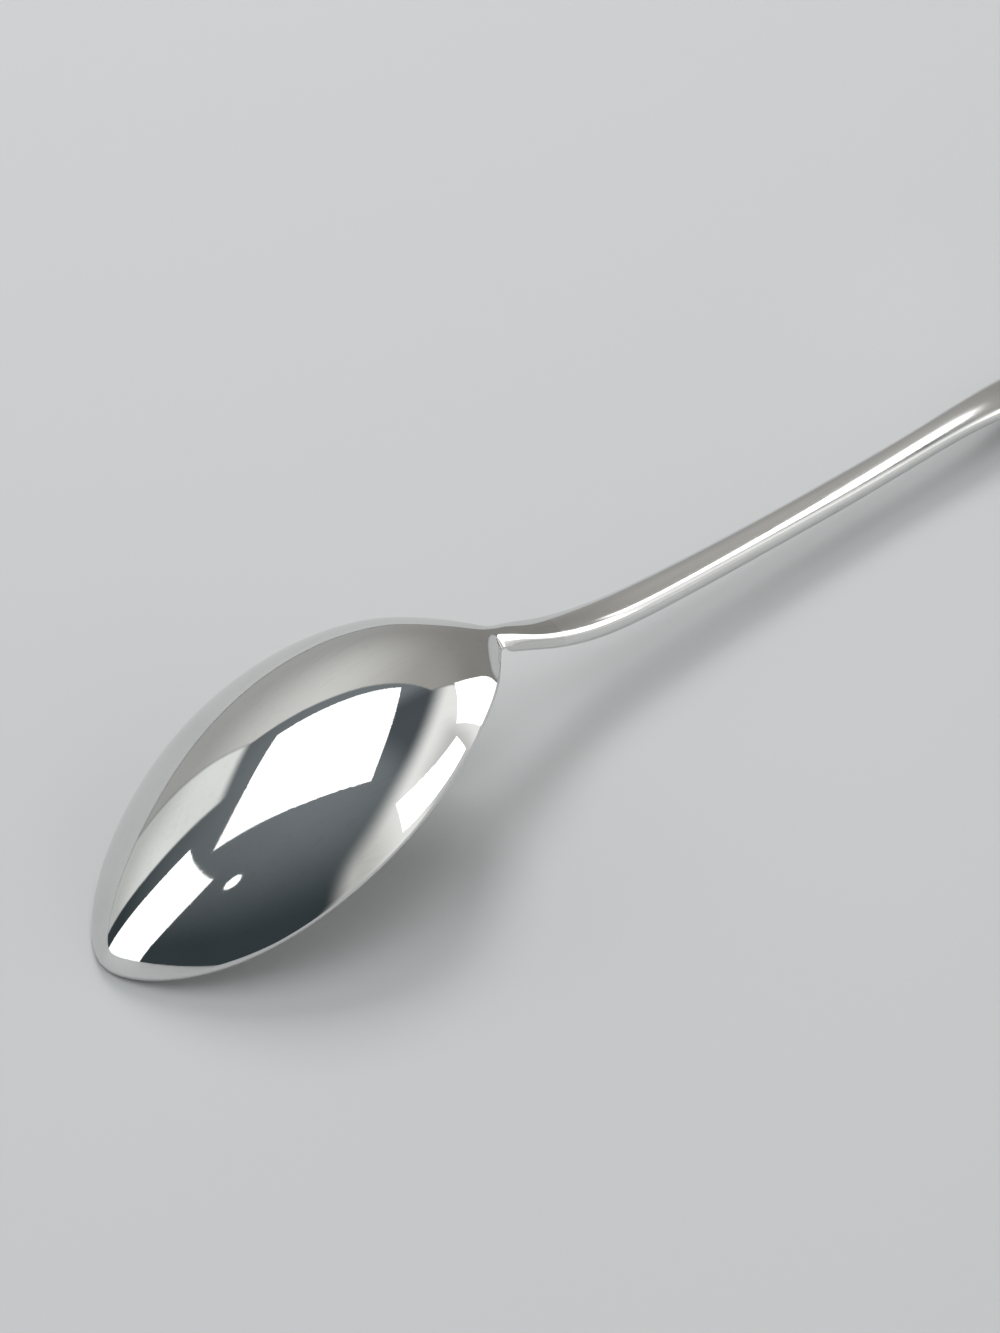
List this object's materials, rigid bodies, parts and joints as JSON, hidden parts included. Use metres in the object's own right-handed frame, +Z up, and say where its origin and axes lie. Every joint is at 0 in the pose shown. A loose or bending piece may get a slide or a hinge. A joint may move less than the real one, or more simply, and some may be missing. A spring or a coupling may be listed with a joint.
{
  "type": "teaspoon",
  "caption": "Slender polished steel teaspoon lying face down, with a deep pointed oval bowl, a narrow neck and a slim handle that widens to a rounded end.",
  "frame": {"origin": "on the table, under the middle of the spoon as it lies face down", "axes": "+X along the spoon from the bowl's tip to the handle's end, +Y across it, +Z up from the table, out of the bowl's back"},
  "size_m": [0.1479, 0.0262, 0.0187],
  "materials": {
    "polished_steel": "mirror polished stainless steel with faint hairline scratches",
    "handle_steel": "bright polished stainless steel, slightly softer than the bowl",
    "braze": "silver braze, dressed flush and polished"
  },
  "bodies": {
    "root": {"bowl": "polished_steel", "handle": "handle_steel", "neck_braze": "braze"}
  },
  "joints": []
}
